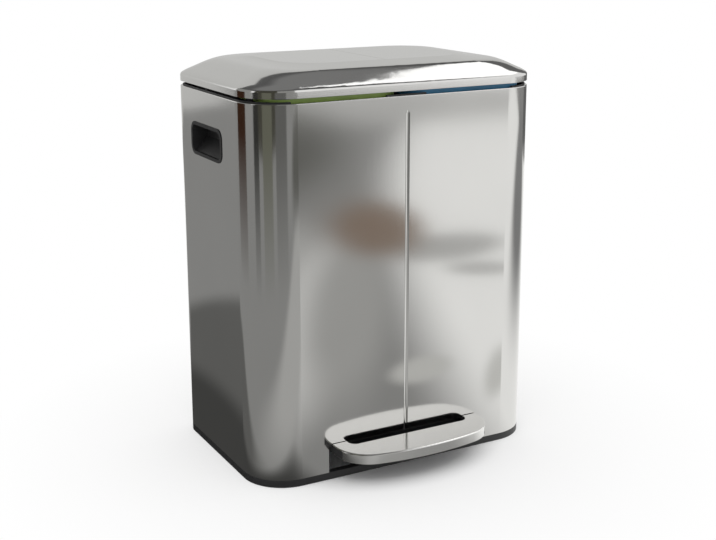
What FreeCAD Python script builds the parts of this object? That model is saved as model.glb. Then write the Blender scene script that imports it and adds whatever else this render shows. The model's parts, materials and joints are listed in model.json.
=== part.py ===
import FreeCAD, Part
import os
import re
import Sketcher
from FreeCAD import Placement, Rotation, Vector

# A double recycling bin with a pedal: a wrapped steel shell on a moulded base ring, a pressed steel lid on a
# rear hinge, and two lift-out buckets side by side. Millimetres, +Z up, the front faces -Y, and the origin is
# on the floor in the middle of the whole bin, its pedal included.

SIZES = {
    # The shell, a sheet wrapped round a rounded rectangle.
    "shell_width": 480,
    "shell_depth": 304,
    "shell_top": 565,
    "front_radius": 65,
    "rear_radius": 34,
    "sheet_wall": 0.8,
    "bead_width": 3,
    "notch_side": 4.5,
    "notch_drop": 3.5,
    "crease_radius": 5.7,
    "crease_depth": 1.2,
    "crease_end": 25,
    # Clearances: parts that run in each other, parts that seat on each other, and the pieces that lift out.
    "run_gap": 0.05,
    "seat_gap": 0.2,
    "rest_gap": 0.3,
    "lift_gap": 1,
    # The base.
    "base_reveal": 12,
    "foot_proud": 1,
    "foot_radius": 9,
    "foot_thickness": 3,
    "foot_inset": 16,
    "foot_side": 85,
    "ring_width": 26,
    "ring_wall": 2.5,
    "ring_lip": 8,
    "floor_height": 64,
    "floor_plate": 2.5,
    # The collar under the lid, which guides the buckets.
    "collar_wall": 3,
    "collar_depth": 34,
    "collar_stand": 2,
    "collar_plate": 4,
    "collar_drop": 6,
    "rest_side": 24,
    "rest_drop": 3.5,
    # The side grips.
    "grip_length": 112,
    "grip_height": 44,
    "grip_setback": 24,
    "grip_drop": 73,
    "grip_depth": 26,
    "grip_radius": 12,
    "grip_wall": 2,
    "grip_lip": 3,
    "grip_proud": 1,
    "retainer_width": 7,
    "retainer_wall": 2.5,
    # The lid: a skirt, a slope on each side and a low crown.
    "lid_gap": 6.7,
    "skirt_height": 12.5,
    "slope_rise": 22,
    "side_slope": 45,
    "front_slope": 22,
    "rear_slope": 12,
    "crown_rise": 4.5,
    "crown_run": 45,
    "plateau_front_radius": 60,
    "plateau_rear_radius": 50,
    "lid_sheet": 0.8,
    "liner_wall": 2,
    "line_radius": 3,
    "line_depth": 0.4,
    "rib_inset": 14,
    "rib_wall": 2,
    "rib_depth": 26,
    "bumper_radius": 5,
    "bumper_inset": 17,
    "bumper_front": 52,
    "bumper_rear": 67,
    # The lid's hinge at the rear and the crank that the push rod turns.
    "hinge_back": 7.5,
    "hinge_rise": 13,
    "hinge_radius": 2.5,
    "knuckle_radius": 5,
    "ear_thickness": 3,
    "ear_spread": 42,
    "ear_gap": 0.4,
    "bracket_plate": 2,
    "bracket_width": 100,
    "bracket_drop": 30,
    "hinge_arm": 50,
    "hinge_arm_rise": 22,
    "hinge_plate": 2,
    "crank_thickness": 4,
    "rod_reach": 24,
    "rod_radius": 3,
    "rod_travel": 35.5,
    "lid_opening": 75,
    "link_radius": 2.5,
    "link_play": 0.9,
    "link_wall": 3.4,
    "head_width": 14,
    "head_depth": 12,
    "foot_cap_radius": 4.5,
    "foot_cap_height": 14,
    # The pedal and the lever under the floor.
    "pedal_top": 56.5,
    "pedal_width": 254,
    "pedal_reach": 73.5,
    "pedal_bow": 425,
    "pedal_corner": 55,
    "pedal_round": 2,
    "pedal_skirt": 15,
    "pedal_skirt_start": 29,
    "pedal_slot_side": 24.5,
    "pedal_slot_reach": 17.5,
    "pedal_gap": 1.5,
    "pedal_sheet": 1.2,
    "pedal_floor": 9,
    "pedal_slot_radius": 12,
    "tongue_drop": 5.5,
    "tongue_thickness": 8,
    "tongue_overlap": 8,
    "tongue_length": 30,
    "pivot_setback": 102,
    "pivot_height": 29,
    "pivot_radius": 4,
    "lever_width": 30,
    "lever_wall": 3,
    "lever_tip": 5,
    "lever_drop": 1,
    "lever_depth": 15,
    "lever_tab": 28,
    "bracket_length": 40,
    "bracket_ear": 24,
    "bracket_wall": 3,
    # The buckets and their bail handles.
    "bucket_side": 33,
    "bucket_gap": 18,
    "bucket_front": 16,
    "bucket_rear": 5.5,
    "bucket_draft": 6,
    "bucket_wall": 2,
    "bucket_radius": 30,
    "bucket_drop": 3,
    "flange_width": 5,
    "flange_height": 2.5,
    "bail_height": 7.5,
    "bail_depth": 9,
    "bail_arm": 4,
    "bail_radius": 30,
    "stud_radius": 3.5,
    "lug_thickness": 3,
    "lug_radius": 7,
    # The rear channel, with the rod's guides and the lid's damper.
    "rod_room": 7,
    "channel_width": 54,
    "channel_wall": 2,
    "channel_drop": 37,
    "guide_height": 12,
    "damper_radius": 8,
    "damper_bore": 6.2,
    "damper_length": 80,
    "damper_low": 300,
    "damper_side": 14,
    "damper_wall": 4,
    "piston_height": 8,
    "guide_low": 110,
    "guide_drop": 65,
    "damper_stem": 2.5,
    "yoke_height": 8,
    # Screws.
    "screw_radius": 2,
    "screw_head": 3.6,
    "screw_length": 8,
    "head_height": 2,
}

doc = FreeCAD.newDocument("double_bin")
sheet = doc.addObject("Spreadsheet::Sheet", "dims")
for row, (alias, size) in enumerate(SIZES.items(), start=1):
    sheet.set(f"A{row}", alias)
    sheet.set(f"B{row}", str(size))
    sheet.setAlias(f"B{row}", alias)
doc.recompute()

HALF_WIDTH = "shell_width/2"
MIDDLE = "pedal_reach/2"
FRONT = "(pedal_reach/2 - shell_depth/2)"
REAR = "(pedal_reach/2 + shell_depth/2)"
HINGE_Y = f"({REAR} - hinge_back)"
HINGE_Z = "(shell_top + hinge_rise)"
ROD_Y = f"({HINGE_Y} - rod_reach)"
LINK_Z = f"({HINGE_Z} - rod_travel/2)"
PIVOT_Y = f"({FRONT} + pivot_setback)"
FLOOR_TOP = "(floor_height + floor_plate)"
NOTCH_WIDE = "(pedal_width + 2*notch_side)"
NOTCH_TOP = "(pedal_top - notch_drop)"
CREASE_TOP = "(shell_top - crease_end)"
GRIP_Y = f"({MIDDLE} + grip_setback)"
GRIP_Z = "(shell_top - grip_drop)"
COLLAR_OUT = "(sheet_wall + seat_gap)"
COLLAR_STEP = "(bead_width + 2*seat_gap)"
COLLAR_TOP = "(shell_top + collar_stand)"
PLATE_TOP = "(shell_top - collar_drop)"
COLLAR_IN = f"({COLLAR_STEP} + collar_wall)"
BLOCK_WIDE = "(bracket_width + 4*lift_gap)"
LID_LOW = "(shell_top + lid_gap)"
LID_TOP = f"({LID_LOW} + skirt_height + slope_rise + crown_rise)"
LINER_OUT = "(lid_sheet + seat_gap)"
LINER_IN = f"({LINER_OUT} + liner_wall)"
HINGE_PLATE_TOP = f"({HINGE_Z} + hinge_arm_rise + hinge_plate)"
TIP_Z = "(pivot_height - 2*lever_tip)"
ROD_FOOT = f"({TIP_Z} + lever_tip + rest_gap)"
CHANNEL_FRONT = f"({ROD_Y} - rod_room)"
CHANNEL_TOP = "(shell_top - channel_drop)"
GUIDE_HIGH = "(shell_top - guide_drop)"
DAMPER_Y = f"({ROD_Y} + damper_side)"
HEAD_GAP = "(link_radius + link_play + 3*link_wall + lift_gap)"
ROD_TOP = f"({LINK_Z} - link_radius - link_play - 4*link_wall)"
YOKE_Z = "(damper_low + damper_length + rod_travel/2)"
PEDAL_BACK = f"({FRONT} - pedal_gap)"
TONGUE_WIDE = "(pedal_width - 2*pedal_sheet - 2*seat_gap)"
TONGUE_HIGH = "(pedal_top - tongue_drop)"
TONGUE_LOW = f"({TONGUE_HIGH} - tongue_thickness)"
BUCKET_WIDE = "(shell_width/2 - bucket_side - bucket_gap/2)"
BUCKET_PITCH = f"({BUCKET_WIDE} + bucket_gap)"
BUCKET_NEAR = f"({FRONT} + bucket_front)"
BUCKET_FAR = f"({CHANNEL_FRONT} - bucket_rear)"
BUCKET_Y = f"(({BUCKET_NEAR} + {BUCKET_FAR})/2)"
BUCKET_LOW = f"({FLOOR_TOP} + rest_gap)"
BUCKET_RIM = "(shell_top - bucket_drop)"
BAIL_LOW = f"({BUCKET_RIM} + rest_gap)"
STUD_Z = f"({BAIL_LOW} + bail_height/2)"
SIDES = {"left": "-1", "right": "1"}


def link(text):
    """The expression with each size's name pointed at the sheet."""
    return re.sub(r"[a-z]+(?:_[a-z]+)+", lambda found: "dims." + found.group(), str(text))


def value(text):
    """What an expression comes to now, as a plain number."""
    return float(sheet.evalExpression(link(text)))


def bind(made, setting, text):
    made.setExpression(setting, link(text))


# ---------------------------------------------------------------- Part primitives and booleans


def box(name, x, y, z):
    """A box from its (low, high) pair on each axis."""
    made = doc.addObject("Part::Box", name)
    for axis, side, (low, high) in zip("xyz", ("Length", "Width", "Height"), (x, y, z)):
        bind(made, side, f"({high}) - ({low})")
        bind(made, f"Placement.Base.{axis}", low)
    return made


def place(made, axis, centre, low):
    """Turns a shape's own axis to a row axis and puts its start at low, on the centre of the other two."""
    turn = {"x": Vector(1, 0, 0), "y": Vector(0, 1, 0), "z": Vector(0, 0, 1)}[axis]
    made.Placement = Placement(Vector(), Rotation(Vector(0, 0, 1), turn))
    others = iter(centre)
    for name in "xyz":
        bind(made, f"Placement.Base.{name}", low if name == axis else next(others))


def cylinder(name, radius, axis, centre, span):
    """A round bar along an axis: centre is its place on the other two axes, span its (low, high)."""
    made = doc.addObject("Part::Cylinder", name)
    bind(made, "Radius", radius)
    bind(made, "Height", f"({span[1]}) - ({span[0]})")
    place(made, axis, centre, span[0])
    return made


def fuse(name, *shapes):
    made = doc.addObject("Part::MultiFuse", name)
    made.Shapes = list(shapes)
    return made


def cut(name, base, *tools):
    made = doc.addObject("Part::Cut", name)
    made.Base = base
    made.Tool = tools[0] if len(tools) == 1 else fuse(name + "_tools", *tools)
    return made


def common(name, *shapes):
    made = doc.addObject("Part::MultiCommon", name)
    made.Shapes = list(shapes)
    return made


def group(name, *shapes):
    """Separate solids that share a node."""
    made = doc.addObject("Part::Compound", name)
    made.Links = list(shapes)
    return made


# ---------------------------------------------------------------- Bodies, sketches and features

PLANES = {"z": "XY_Plane", "y": "XZ_Plane", "x": "YZ_Plane"}


def body(name):
    return doc.addObject("PartDesign::Body", name)


def sketch(owner, axis, at):
    """A sketch square to an axis, on the body's own plane moved to at."""
    made = owner.newObject("Sketcher::SketchObject", owner.Name + "_sketch")
    plane = [o for o in owner.Origin.OriginFeatures if o.Role == PLANES[axis]][0]
    made.AttachmentSupport = [(plane, "")]
    made.MapMode = "FlatFace"
    bind(made, "AttachmentOffset.Base.z", f"-({at})" if axis == "y" else at)
    return made


def pad(owner, draw, axis, low, high):
    """Material from low to high along an axis, over the outline that draw puts in the sketch."""
    start = high if axis == "y" else low
    made = owner.newObject("PartDesign::Pad", owner.Name + "_pad")
    made.Profile = sketch(owner, axis, start)
    draw(made.Profile[0])
    bind(made, "Length", f"({high}) - ({low})")
    made.Profile[0].Visibility = False
    return made


def pocket(owner, draw, axis, low, high):
    """The same outline taken away, cut back from the side that the sketch looks out of."""
    start = low if axis == "y" else high
    made = owner.newObject("PartDesign::Pocket", owner.Name + "_pocket")
    made.Profile = sketch(owner, axis, start)
    draw(made.Profile[0])
    bind(made, "Length", f"({high}) - ({low})")
    return made


def fix(made, kind, *rest):
    """Adds a sized constraint whose size is the expression at the end."""
    *where, text = rest
    index = made.addConstraint(Sketcher.Constraint(kind, *where, value(text)))
    bind(made, f"Constraints[{index}]", text)


def chain(made, edges):
    """Joins edges end to start, all the way round, smoothly where an arc is one of the two."""
    for this, then in zip(edges, edges[1:] + edges[:1]):
        kinds = {type(made.Geometry[this]), type(made.Geometry[then])}
        kind = "Tangent" if Part.ArcOfCircle in kinds else "Coincident"
        made.addConstraint(Sketcher.Constraint(kind, this, 2, then, 1))


def rounded(x, y, front, rear=None):
    """A rounded rectangle: (low, high) pairs, and the corner radius at low y and at high y."""
    rear = rear or front

    def draw(made):
        (left, right), (near, far) = [[value(e) for e in pair] for pair in (x, y)]
        small, big = value(front), value(rear)
        quarter = FreeCAD.Units.Quantity("90 deg").getValueAs("rad").Value
        spots = [
            ((left + small, near), (right - small, near)),
            ((right - small, near + small), small, -1),
            ((right, near + small), (right, far - big)),
            ((right - big, far - big), big, 0),
            ((right - big, far), (left + big, far)),
            ((left + big, far - big), big, 1),
            ((left, far - big), (left, near + small)),
            ((left + small, near + small), small, 2),
        ]
        for spot in spots:
            if len(spot) == 2:
                made.addGeometry(Part.LineSegment(Vector(*spot[0]), Vector(*spot[1])))
                continue
            centre, radius, turn = spot
            ring = Part.Circle(Vector(*centre), Vector(0, 0, 1), radius)
            made.addGeometry(Part.ArcOfCircle(ring, turn * quarter, (turn + 1) * quarter))
        chain(made, list(range(8)))
        for edge, kind in ((0, "Horizontal"), (2, "Vertical"), (4, "Horizontal"), (6, "Vertical")):
            made.addConstraint(Sketcher.Constraint(kind, edge))
        for edge, text in ((1, front), (3, rear), (5, rear), (7, front)):
            fix(made, "Radius", edge, text)
        fix(made, "DistanceY", -1, 1, 0, 1, y[0])
        fix(made, "DistanceX", -1, 1, 2, 1, x[1])
        fix(made, "DistanceY", -1, 1, 4, 1, y[1])
        fix(made, "DistanceX", -1, 1, 6, 1, x[0])

    return draw


def polygon(*points):
    """A closed outline of straight edges, each corner placed by two expressions."""

    def draw(made):
        spots = [Vector(value(u), value(v)) for u, v in points]
        for here, there in zip(spots, spots[1:] + spots[:1]):
            made.addGeometry(Part.LineSegment(here, there))
        chain(made, list(range(len(points))))
        for edge, (u, v) in enumerate(points):
            fix(made, "DistanceX", -1, 1, edge, 1, u)
            fix(made, "DistanceY", -1, 1, edge, 1, v)

    return draw


def rectangle(u, v):
    return polygon((u[0], v[0]), (u[1], v[0]), (u[1], v[1]), (u[0], v[1]))


def circles(radius, *centres):
    """Circles of one radius, each placed by two expressions."""

    def draw(made):
        for u, v in centres:
            spot = Vector(value(u), value(v))
            edge = made.addGeometry(Part.Circle(spot, Vector(0, 0, 1), value(radius)))
            fix(made, "Radius", edge, radius)
            fix(made, "DistanceX", -1, 1, edge, 3, u)
            fix(made, "DistanceY", -1, 1, edge, 3, v)

    return draw


def outline(inset):
    """The shell's rounded rectangle, drawn in by inset all round."""
    return rounded(
        (f"-({HALF_WIDTH} - ({inset}))", f"{HALF_WIDTH} - ({inset})"),
        (f"{FRONT} + ({inset})", f"{REAR} - ({inset})"),
        f"front_radius - ({inset})",
        f"rear_radius - ({inset})",
    )


def across(width):
    """A (low, high) pair centred on zero."""
    return (f"-({width})/2", f"({width})/2")


def mirrored(span, sign):
    """A (low, high) pair on X, turned over to the left side where sign is -1."""
    low, high = span
    return (low, high) if sign == "1" else (f"-({high})", f"-({low})")


def edges_at(shape, height):
    """The names of a shape's level edges at one height."""
    found = []
    for index, edge in enumerate(shape.Edges, start=1):
        middle = (edge.BoundBox.ZMin + edge.BoundBox.ZMax) / 2
        if abs(middle - height) < 1e-4 and edge.BoundBox.ZLength < 1e-4:
            found.append(f"Edge{index}")
    return found


def fillet(owner, height, radius):
    """Rounds the level edges of the body's last feature at one height."""
    doc.recompute()
    last = owner.Tip
    made = owner.newObject("PartDesign::Fillet", owner.Name + "_fillet")
    made.Base = (last, edges_at(last.Shape, value(height)))
    bind(made, "Radius", radius)
    doc.recompute()
    return made


# ---------------------------------------------------------------- Shell


def make_shell():
    """Steel wrap with a rolled bead at its top, a pressed crease in front, a notch and two grip holes."""
    skin = body("shell_skin")
    pad(skin, outline("0"), "z", "base_reveal", "shell_top")
    fillet(skin, "shell_top", "0.45*bead_width")
    pocket(skin, outline("bead_width"), "z", "shell_top - bead_width", "shell_top")
    pocket(skin, outline("sheet_wall"), "z", "base_reveal", "shell_top - bead_width")
    sunk = f"{FRONT} - crease_radius + crease_depth"
    low = f"{NOTCH_TOP} - crease_radius"
    ends = []
    for name, radius in (("crease", "crease_radius"), ("crease_back", "crease_radius + sheet_wall")):
        rod = cylinder(name + "_run", radius, "z", ("0", sunk), (low, CREASE_TOP))
        tip = doc.addObject("Part::Sphere", name + "_tip")
        bind(tip, "Radius", radius)
        place(tip, "z", ("0", sunk), CREASE_TOP)
        ends.append(fuse(name, rod, tip))
    groove, back = ends
    room = box("crease_room", across("4*crease_radius"), (FRONT, f"{FRONT} + 4*crease_radius"),
               (low, f"{CREASE_TOP} + 2*crease_radius"))
    pressed = fuse("shell_pressed", skin, common("crease_rib", back, room))
    notch = box("notch", across(NOTCH_WIDE), (f"{FRONT} - front_radius", f"{FRONT} + front_radius"),
                ("base_reveal - floor_plate", NOTCH_TOP))
    holes = [grip_block(f"{side}_grip_hole", side, "seat_gap", "-grip_depth", "grip_depth")
             for side in ("left", "right")]
    return cut("shell", pressed, groove, notch, *holes)


def grip_block(name, side, spare, low, high):
    """A rounded block along X at a side grip, from low to high measured inwards from the shell's side."""
    owner = body(name)
    half_length = f"(grip_length/2 + ({spare}))"
    half_height = f"(grip_height/2 + ({spare}))"
    shape = rounded(
        (f"{GRIP_Y} - {half_length}", f"{GRIP_Y} + {half_length}"),
        (f"{GRIP_Z} - {half_height}", f"{GRIP_Z} + {half_height}"),
        f"grip_radius + ({spare})",
    )
    if side == "left":
        pad(owner, shape, "x", f"-{HALF_WIDTH} + ({low})", f"-{HALF_WIDTH} + ({high})")
    else:
        pad(owner, shape, "x", f"{HALF_WIDTH} - ({high})", f"{HALF_WIDTH} - ({low})")
    return owner


def make_grip(side):
    """A moulded cup let into the shell's side, with a lip that covers the cut edge and a sloped hand hold."""
    name = f"{side}_grip"
    sleeve = grip_block(name + "_sleeve", side, "0", "0", "grip_depth")
    lip = grip_block(name + "_lip", side, "grip_lip", "-grip_proud", "-seat_gap/2")
    neck = grip_block(name + "_neck", side, "0", "-grip_proud", "1")
    hollow = grip_block(name + "_hollow", side, "-grip_wall", "-2*grip_proud", "grip_depth - grip_wall")
    sign = "-" if side == "left" else ""
    reach = (f"{sign}({HALF_WIDTH} - grip_depth + grip_wall)", f"{sign}({HALF_WIDTH} - grip_wall)")
    wedge = body(name + "_wedge")
    low = f"{GRIP_Z} - grip_height/2 + grip_wall/2"
    pad(wedge, polygon((reach[0], GRIP_Z), (reach[1], low), (reach[0], low)), "y",
        f"{GRIP_Y} - grip_length/2 + grip_wall/2", f"{GRIP_Y} + grip_length/2 - grip_wall/2")
    ramp = common(name + "_ramp", wedge, grip_block(name + "_core", side, "-grip_wall/2", "0", "grip_depth"))
    return fuse(name, cut(name + "_cup", fuse(name + "_block", sleeve, lip, neck), hollow), ramp)


# ---------------------------------------------------------------- Base


def crease_relief(name, low, high):
    """Room for the back of the shell's crease."""
    return cylinder(name, "crease_radius + sheet_wall + seat_gap", "z",
                    ("0", f"{FRONT} - crease_radius + crease_depth"), (low, high))


def make_base_ring():
    """Moulded ring under the shell: a lip that shows, a wide foot flange and a wall under the floor."""
    ring = body("ring_shape")
    pad(ring, outline("0"), "z", "foot_proud", "base_reveal")
    pocket(ring, outline("ring_width"), "z", "foot_proud", "base_reveal")
    pocket(ring, outline("ring_lip"), "z", "foot_proud + foot_thickness", "base_reveal")
    pad(ring, outline(COLLAR_OUT), "z", "base_reveal", "floor_height")
    pocket(ring, outline(f"{COLLAR_OUT} + ring_wall"), "z", "base_reveal", "floor_height")
    pocket(ring, rectangle(across(f"{NOTCH_WIDE} + 2*seat_gap"), (FRONT, f"{FRONT} + ring_width")), "z",
           "base_reveal", f"{NOTCH_TOP} + seat_gap")
    pocket(ring, circles("foot_radius + seat_gap", *foot_places()), "z", "0", "foot_proud + foot_thickness/2")
    return cut("base_ring", ring, crease_relief("ring_relief", NOTCH_TOP, "floor_height"))


def foot_places():
    near, far = f"{FRONT} + foot_inset", f"{REAR} - foot_inset"
    return [(f"{sign}*({HALF_WIDTH} - foot_side)", y) for sign in SIDES.values() for y in (near, far)]


def make_feet():
    pads = [cylinder(f"foot_{index}", "foot_radius", "z", spot, ("0", "foot_proud + foot_thickness/2"))
            for index, spot in enumerate(foot_places(), start=1)]
    return group("rubber_feet", *pads)


def make_floor():
    """The plate that the buckets stand on, with a well at the rear for the rod and ribs underneath."""
    plate = body("floor_shape")
    pad(plate, outline(COLLAR_OUT), "z", "floor_height", FLOOR_TOP)
    well = (f"{CHANNEL_FRONT} + channel_wall", f"{REAR} - {COLLAR_OUT} - 2*ring_wall")
    pocket(plate, rectangle(across("channel_width - 2*channel_wall"), well), "z", "floor_height", FLOOR_TOP)
    pocket(plate, circles("screw_radius + seat_gap", *bracket_screws()), "z", "floor_height", FLOOR_TOP)
    return cut("base_floor", plate, crease_relief("floor_relief", "floor_height", FLOOR_TOP))


def bracket_screws():
    return [(x, f"{PIVOT_Y} + {y}") for x in ("-lever_width", "lever_width")
            for y in ("-bracket_length/3", "bracket_length/3")]


# ---------------------------------------------------------------- Collar


def make_collar():
    """Black frame in the shell's top edge: it guides both buckets, and its front dips for their handles."""
    frame = body("collar_frame")
    low, step = "shell_top - collar_depth", "shell_top - bead_width - seat_gap"
    pad(frame, outline(COLLAR_OUT), "z", low, step)
    pad(frame, outline(COLLAR_STEP), "z", step, COLLAR_TOP)
    pocket(frame, outline(f"{COLLAR_OUT} + collar_wall"), "z", low, f"{PLATE_TOP} - collar_plate")
    pocket(frame, outline(COLLAR_IN), "z", PLATE_TOP, COLLAR_TOP)
    for side, sign in SIDES.items():
        middle = f"{sign}*{BUCKET_PITCH}/2"
        mouth = bucket_outline(middle, "lift_gap")
        pocket(frame, mouth, "z", f"{PLATE_TOP} - collar_plate", PLATE_TOP)
        rest = (f"{middle} - {BUCKET_WIDE}/2 + rest_side", f"{middle} + {BUCKET_WIDE}/2 - rest_side")
        pocket(frame, rectangle(rest, (FRONT, f"{FRONT} + 2*{COLLAR_IN}")), "z",
               f"{COLLAR_TOP} - rest_drop", COLLAR_TOP)
    inner = f"{REAR} - {COLLAR_IN}"
    for width, near in (("channel_width", f"{CHANNEL_FRONT} - lift_gap"),
                        ("bracket_width + 2*lift_gap", f"{HINGE_Y} - 4*knuckle_radius")):
        pocket(frame, rectangle(across(width), (near, inner)), "z", f"{PLATE_TOP} - collar_plate", PLATE_TOP)
    pad(frame, rectangle(across(BLOCK_WIDE), (inner, f"{REAR} - {COLLAR_OUT}")), "z", low, step)
    holes = [cylinder(f"collar_hole_{index}", "screw_radius", "y", spot, (inner, f"{inner} + screw_length/2"))
             for index, spot in enumerate(hinge_screws(), start=1)]
    return cut("collar", frame, crease_relief("collar_relief", low, f"{CREASE_TOP} + crease_radius"), *holes)


def bucket_outline(middle, spare):
    """A bucket's outside at its rim, let out by spare, round a middle on X."""
    return rounded(
        (f"{middle} - {BUCKET_WIDE}/2 - ({spare})", f"{middle} + {BUCKET_WIDE}/2 + ({spare})"),
        (f"{BUCKET_NEAR} - ({spare})", f"{BUCKET_FAR} + ({spare})"),
        f"bucket_radius + ({spare})",
    )


def hinge_screws():
    return [(x, "shell_top - bracket_drop + 2*screw_head") for x in ("-ear_spread/2", "ear_spread/2")]


def bumper_places():
    return [(f"{sign}*({HALF_WIDTH} - bumper_inset)", y)
            for sign in SIDES.values() for y in (f"{FRONT} + bumper_front", f"{REAR} - bumper_rear")]


def make_bumpers():
    pads = [cylinder(f"bumper_{index}", "bumper_radius", "z", spot, (PLATE_TOP, LID_LOW))
            for index, spot in enumerate(bumper_places(), start=1)]
    return group("lid_bumpers", *pads)


# ---------------------------------------------------------------- Lid


# The lid's section from its skirt to its crown: (share of the slope's run, share of its rise).
LID_PROFILE = ((0, -0.17), (0.03, -0.01), (0.12, 0.12), (0.45, 0.45),
               (0.75, 0.74), (1.03, 0.94), (1.36, 1.03))


def lid_form(name, inset, low):
    """The lid's whole form, drawn in by inset on every side: skirt, four slopes and a low crown."""
    skirt = body(name + "_skirt")

    def level(share, height, run="0"):
        part = min(share, 1)
        side, near, far = [f"({slope}*{share} + ({inset})*{1 - part * keep:.3f} + {run})" for slope, keep in
                           (("side_slope", 0.77), ("front_slope", 0.59), ("rear_slope", 0.42))]
        front = f"(front_radius - ({inset}) + ({part})*(plateau_front_radius - front_radius))"
        rear = f"(rear_radius - ({inset}) + ({part})*(plateau_rear_radius - rear_radius))"
        drawn = doc.addObject("Sketcher::SketchObject", name + "_level")
        bind(drawn, "Placement.Base.z", f"{height} - ({inset})*{0.45 + 0.55 * part:.3f}")
        rounded((f"-({HALF_WIDTH} - {side})", f"{HALF_WIDTH} - {side}"),
                (f"{FRONT} + {near}", f"{REAR} - {far}"), front, rear)(drawn)
        return drawn

    skirt_top = f"{LID_LOW} + skirt_height"
    pad(skirt, outline(inset), "z", low, f"{skirt_top} + slope_rise*{LID_PROFILE[0][1]} - ({inset})*0.45")
    sections = [level(share, f"{skirt_top} + slope_rise*{height}") for share, height in LID_PROFILE]
    sections.append(level(1, f"{skirt_top} + slope_rise + crown_rise", "crown_run"))
    slopes = doc.addObject("Part::Loft", name + "_slopes")
    slopes.Sections = sections
    slopes.Solid = True
    slopes.MaxDegree = 2
    return fuse(name, skirt, slopes)


def make_lid_cover():
    """Pressed steel lid with a fine line embossed down the middle of its crown."""
    skin = cut("lid_skin", lid_form("lid_outside", "0", LID_LOW),
               lid_form("lid_inside", "lid_sheet", f"{LID_LOW} - lid_sheet"))
    line = cylinder("lid_line", "line_radius", "y", ("0", f"{LID_TOP} + line_radius - line_depth"),
                    (f"{FRONT} + front_slope + crown_run", f"{REAR} - rear_slope - crown_run"))
    return cut("lid_cover", skin, line)


def make_lid_liner():
    """Moulded inner lid: a rim rib over each bucket, posts over the bumpers and bosses for the hinge."""
    skin = cut("liner_skin", lid_form("liner_outside", LINER_OUT, LID_LOW),
               lid_form("liner_inside", LINER_IN, f"{LID_LOW} - liner_wall"))
    room = lid_form("liner_room", f"{LINER_OUT} + liner_wall/2", LID_LOW)
    posts = [cylinder(f"liner_post_{index}", "bumper_radius + lift_gap", "z", spot,
                      (f"{LID_LOW} + rest_gap", f"{LID_LOW} + skirt_height + slope_rise"))
             for index, spot in enumerate(bumper_places(), start=1)]
    bosses = [cylinder(f"liner_boss_{index}", "screw_head", "z", spot, (HINGE_PLATE_TOP, LID_TOP))
              for index, spot in enumerate(lid_screws(), start=1)]
    ribs = []
    for side, sign in SIDES.items():
        rib = body(f"liner_rib_{side}")
        middle = f"{sign}*{BUCKET_PITCH}/2"
        foot = f"{LID_TOP} - rib_depth"
        pad(rib, bucket_outline(middle, "-rib_inset"), "z", foot, LID_TOP)
        pocket(rib, bucket_outline(middle, "-rib_inset - rib_wall"), "z", foot, LID_TOP)
        ribs.append(rib)
    inside = common("liner_inside_parts", fuse("liner_parts", *posts, *bosses, *ribs), room)
    gap = box("liner_hinge_gap", across(f"{BLOCK_WIDE} + 4*lift_gap"), (f"{HINGE_Y} - 4*knuckle_radius", REAR),
              (f"{LID_LOW} - liner_wall", f"{HINGE_Z} + knuckle_radius + 3*lift_gap"))
    holes = [cylinder(f"liner_hole_{index}", "screw_radius", "z", spot,
                      (HINGE_PLATE_TOP, f"{HINGE_PLATE_TOP} + screw_length/2"))
             for index, spot in enumerate(lid_screws(), start=1)]
    return cut("lid_liner", fuse("liner_block", skin, inside), gap, *holes)


def lid_screws():
    return [(x, f"{HINGE_Y} - {y}") for x in ("-ear_spread/2", "ear_spread/2")
            for y in ("hinge_arm*0.36", "hinge_arm*0.84")]


# ---------------------------------------------------------------- Hinge


def make_hinge_bracket():
    """Steel plate on the collar's rear block, with two ears that rise in front of the lid's rear skirt."""
    face = f"{REAR} - {COLLAR_IN} - seat_gap"
    back, near = f"{HINGE_Y} - 2*knuckle_radius", f"{HINGE_Y} - 3.6*knuckle_radius"
    low, step = "shell_top - bracket_drop/2", f"{COLLAR_TOP} - collar_stand/2"
    eye_low, eye_high = f"{HINGE_Z} - knuckle_radius", f"{HINGE_Z} + knuckle_radius"
    neck = polygon(
        (face, low), (face, step), (back, step), (back, eye_low), (HINGE_Y, eye_low), (HINGE_Y, eye_high),
        (f"{near} + knuckle_radius", eye_high), (near, HINGE_Z), (near, f"{step} - knuckle_radius"),
        (f"{near} + knuckle_radius", low),
    )
    parts = [box("bracket_plate_box", across("bracket_width"), (f"{face} - bracket_plate", face),
                 ("shell_top - bracket_drop", step))]
    for side, sign in SIDES.items():
        span = mirrored(("ear_spread", "ear_spread + ear_thickness"), sign)
        ear = body(f"{side}_ear")
        pad(ear, neck, "x", *span)
        parts += [ear, cylinder(f"{side}_ear_eye", "knuckle_radius", "x", (HINGE_Y, HINGE_Z), span)]
    bore = cylinder("bracket_bore", "hinge_radius + run_gap", "x", (HINGE_Y, HINGE_Z), across("bracket_width"))
    holes = [cylinder(f"bracket_hole_{index}", "screw_radius + seat_gap", "y", spot,
                      (f"{face} - 2*bracket_plate", f"{face} + bracket_plate"))
             for index, spot in enumerate(hinge_screws(), start=1)]
    return cut("hinge_bracket", fuse("bracket_parts", *parts), bore, *holes)


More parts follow.
